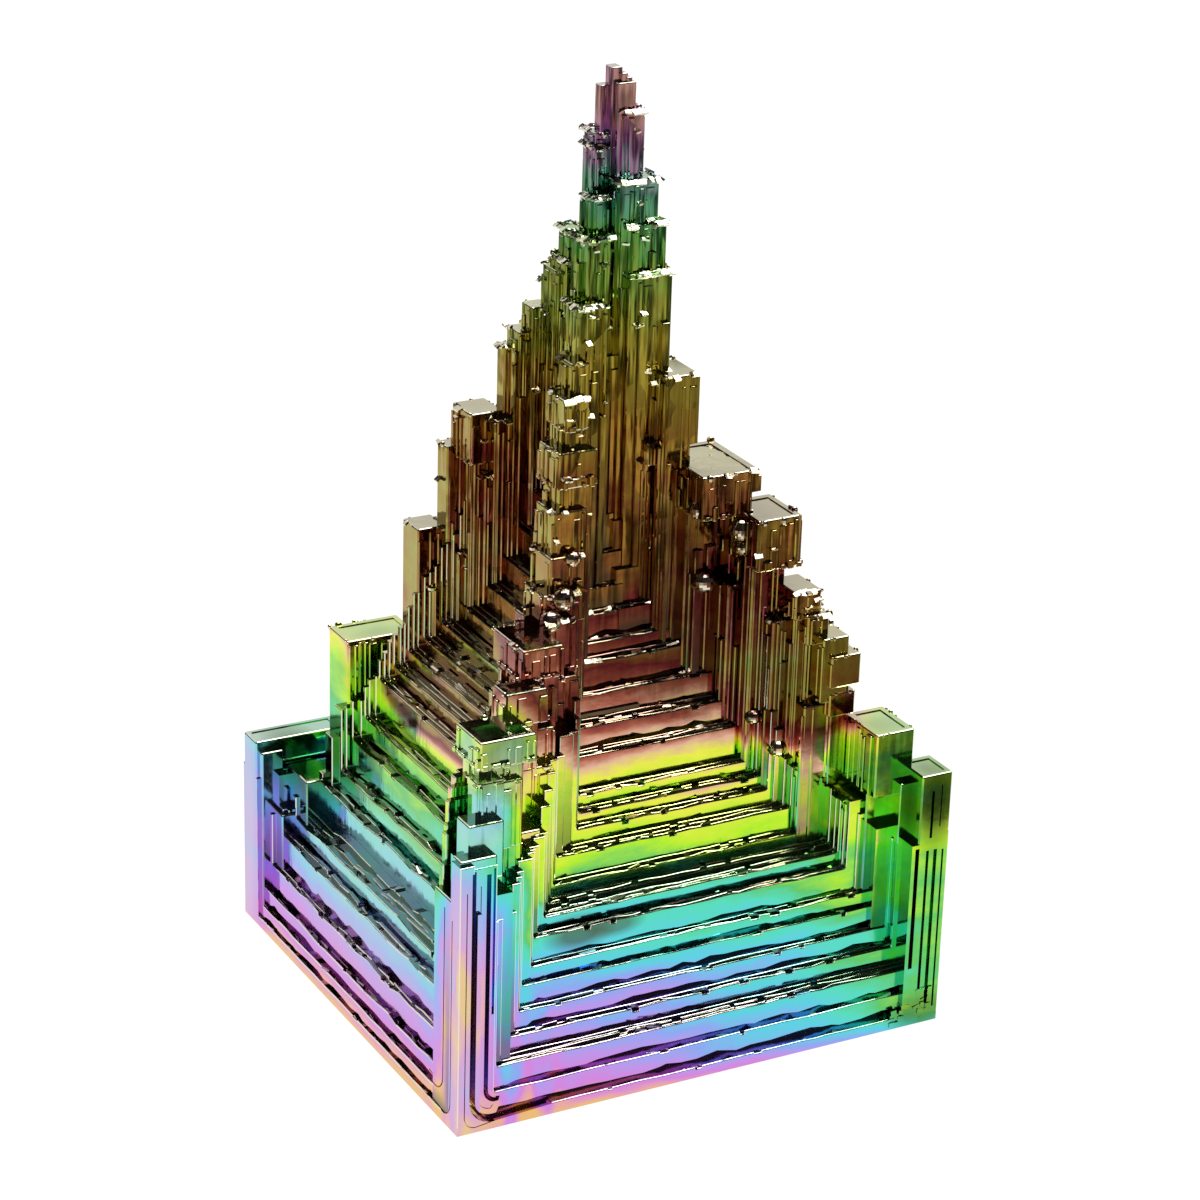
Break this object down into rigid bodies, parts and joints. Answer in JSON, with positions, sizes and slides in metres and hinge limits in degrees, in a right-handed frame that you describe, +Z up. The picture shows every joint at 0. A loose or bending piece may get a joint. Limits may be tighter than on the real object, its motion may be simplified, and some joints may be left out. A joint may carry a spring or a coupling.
{
  "type": "bismuth hopper crystal",
  "caption": "Free-standing bismuth hopper crystal: a stepped metal pyramid with ridged corners, terraced faces and a slender spire, tinted by its oxide film.",
  "frame": {"origin": "centre of the flat base that the crystal stands on, in the plane of its underside", "axes": "+Z up from the base to the tip of the spire, +X and +Y along the base's edges; -Y is the long face that shows to the right in the usual view and -X the face to its left"},
  "size_m": [0.04, 0.038, 0.0706],
  "materials": {
    "oxidised_bismuth": "native bismuth with a thin oxide film, mirror-bright, in bands of interference colours from gold and violet through blue and green to copper"
  },
  "bodies": {
    "root": {"hopper_crystal": "oxidised_bismuth"}
  },
  "joints": []
}
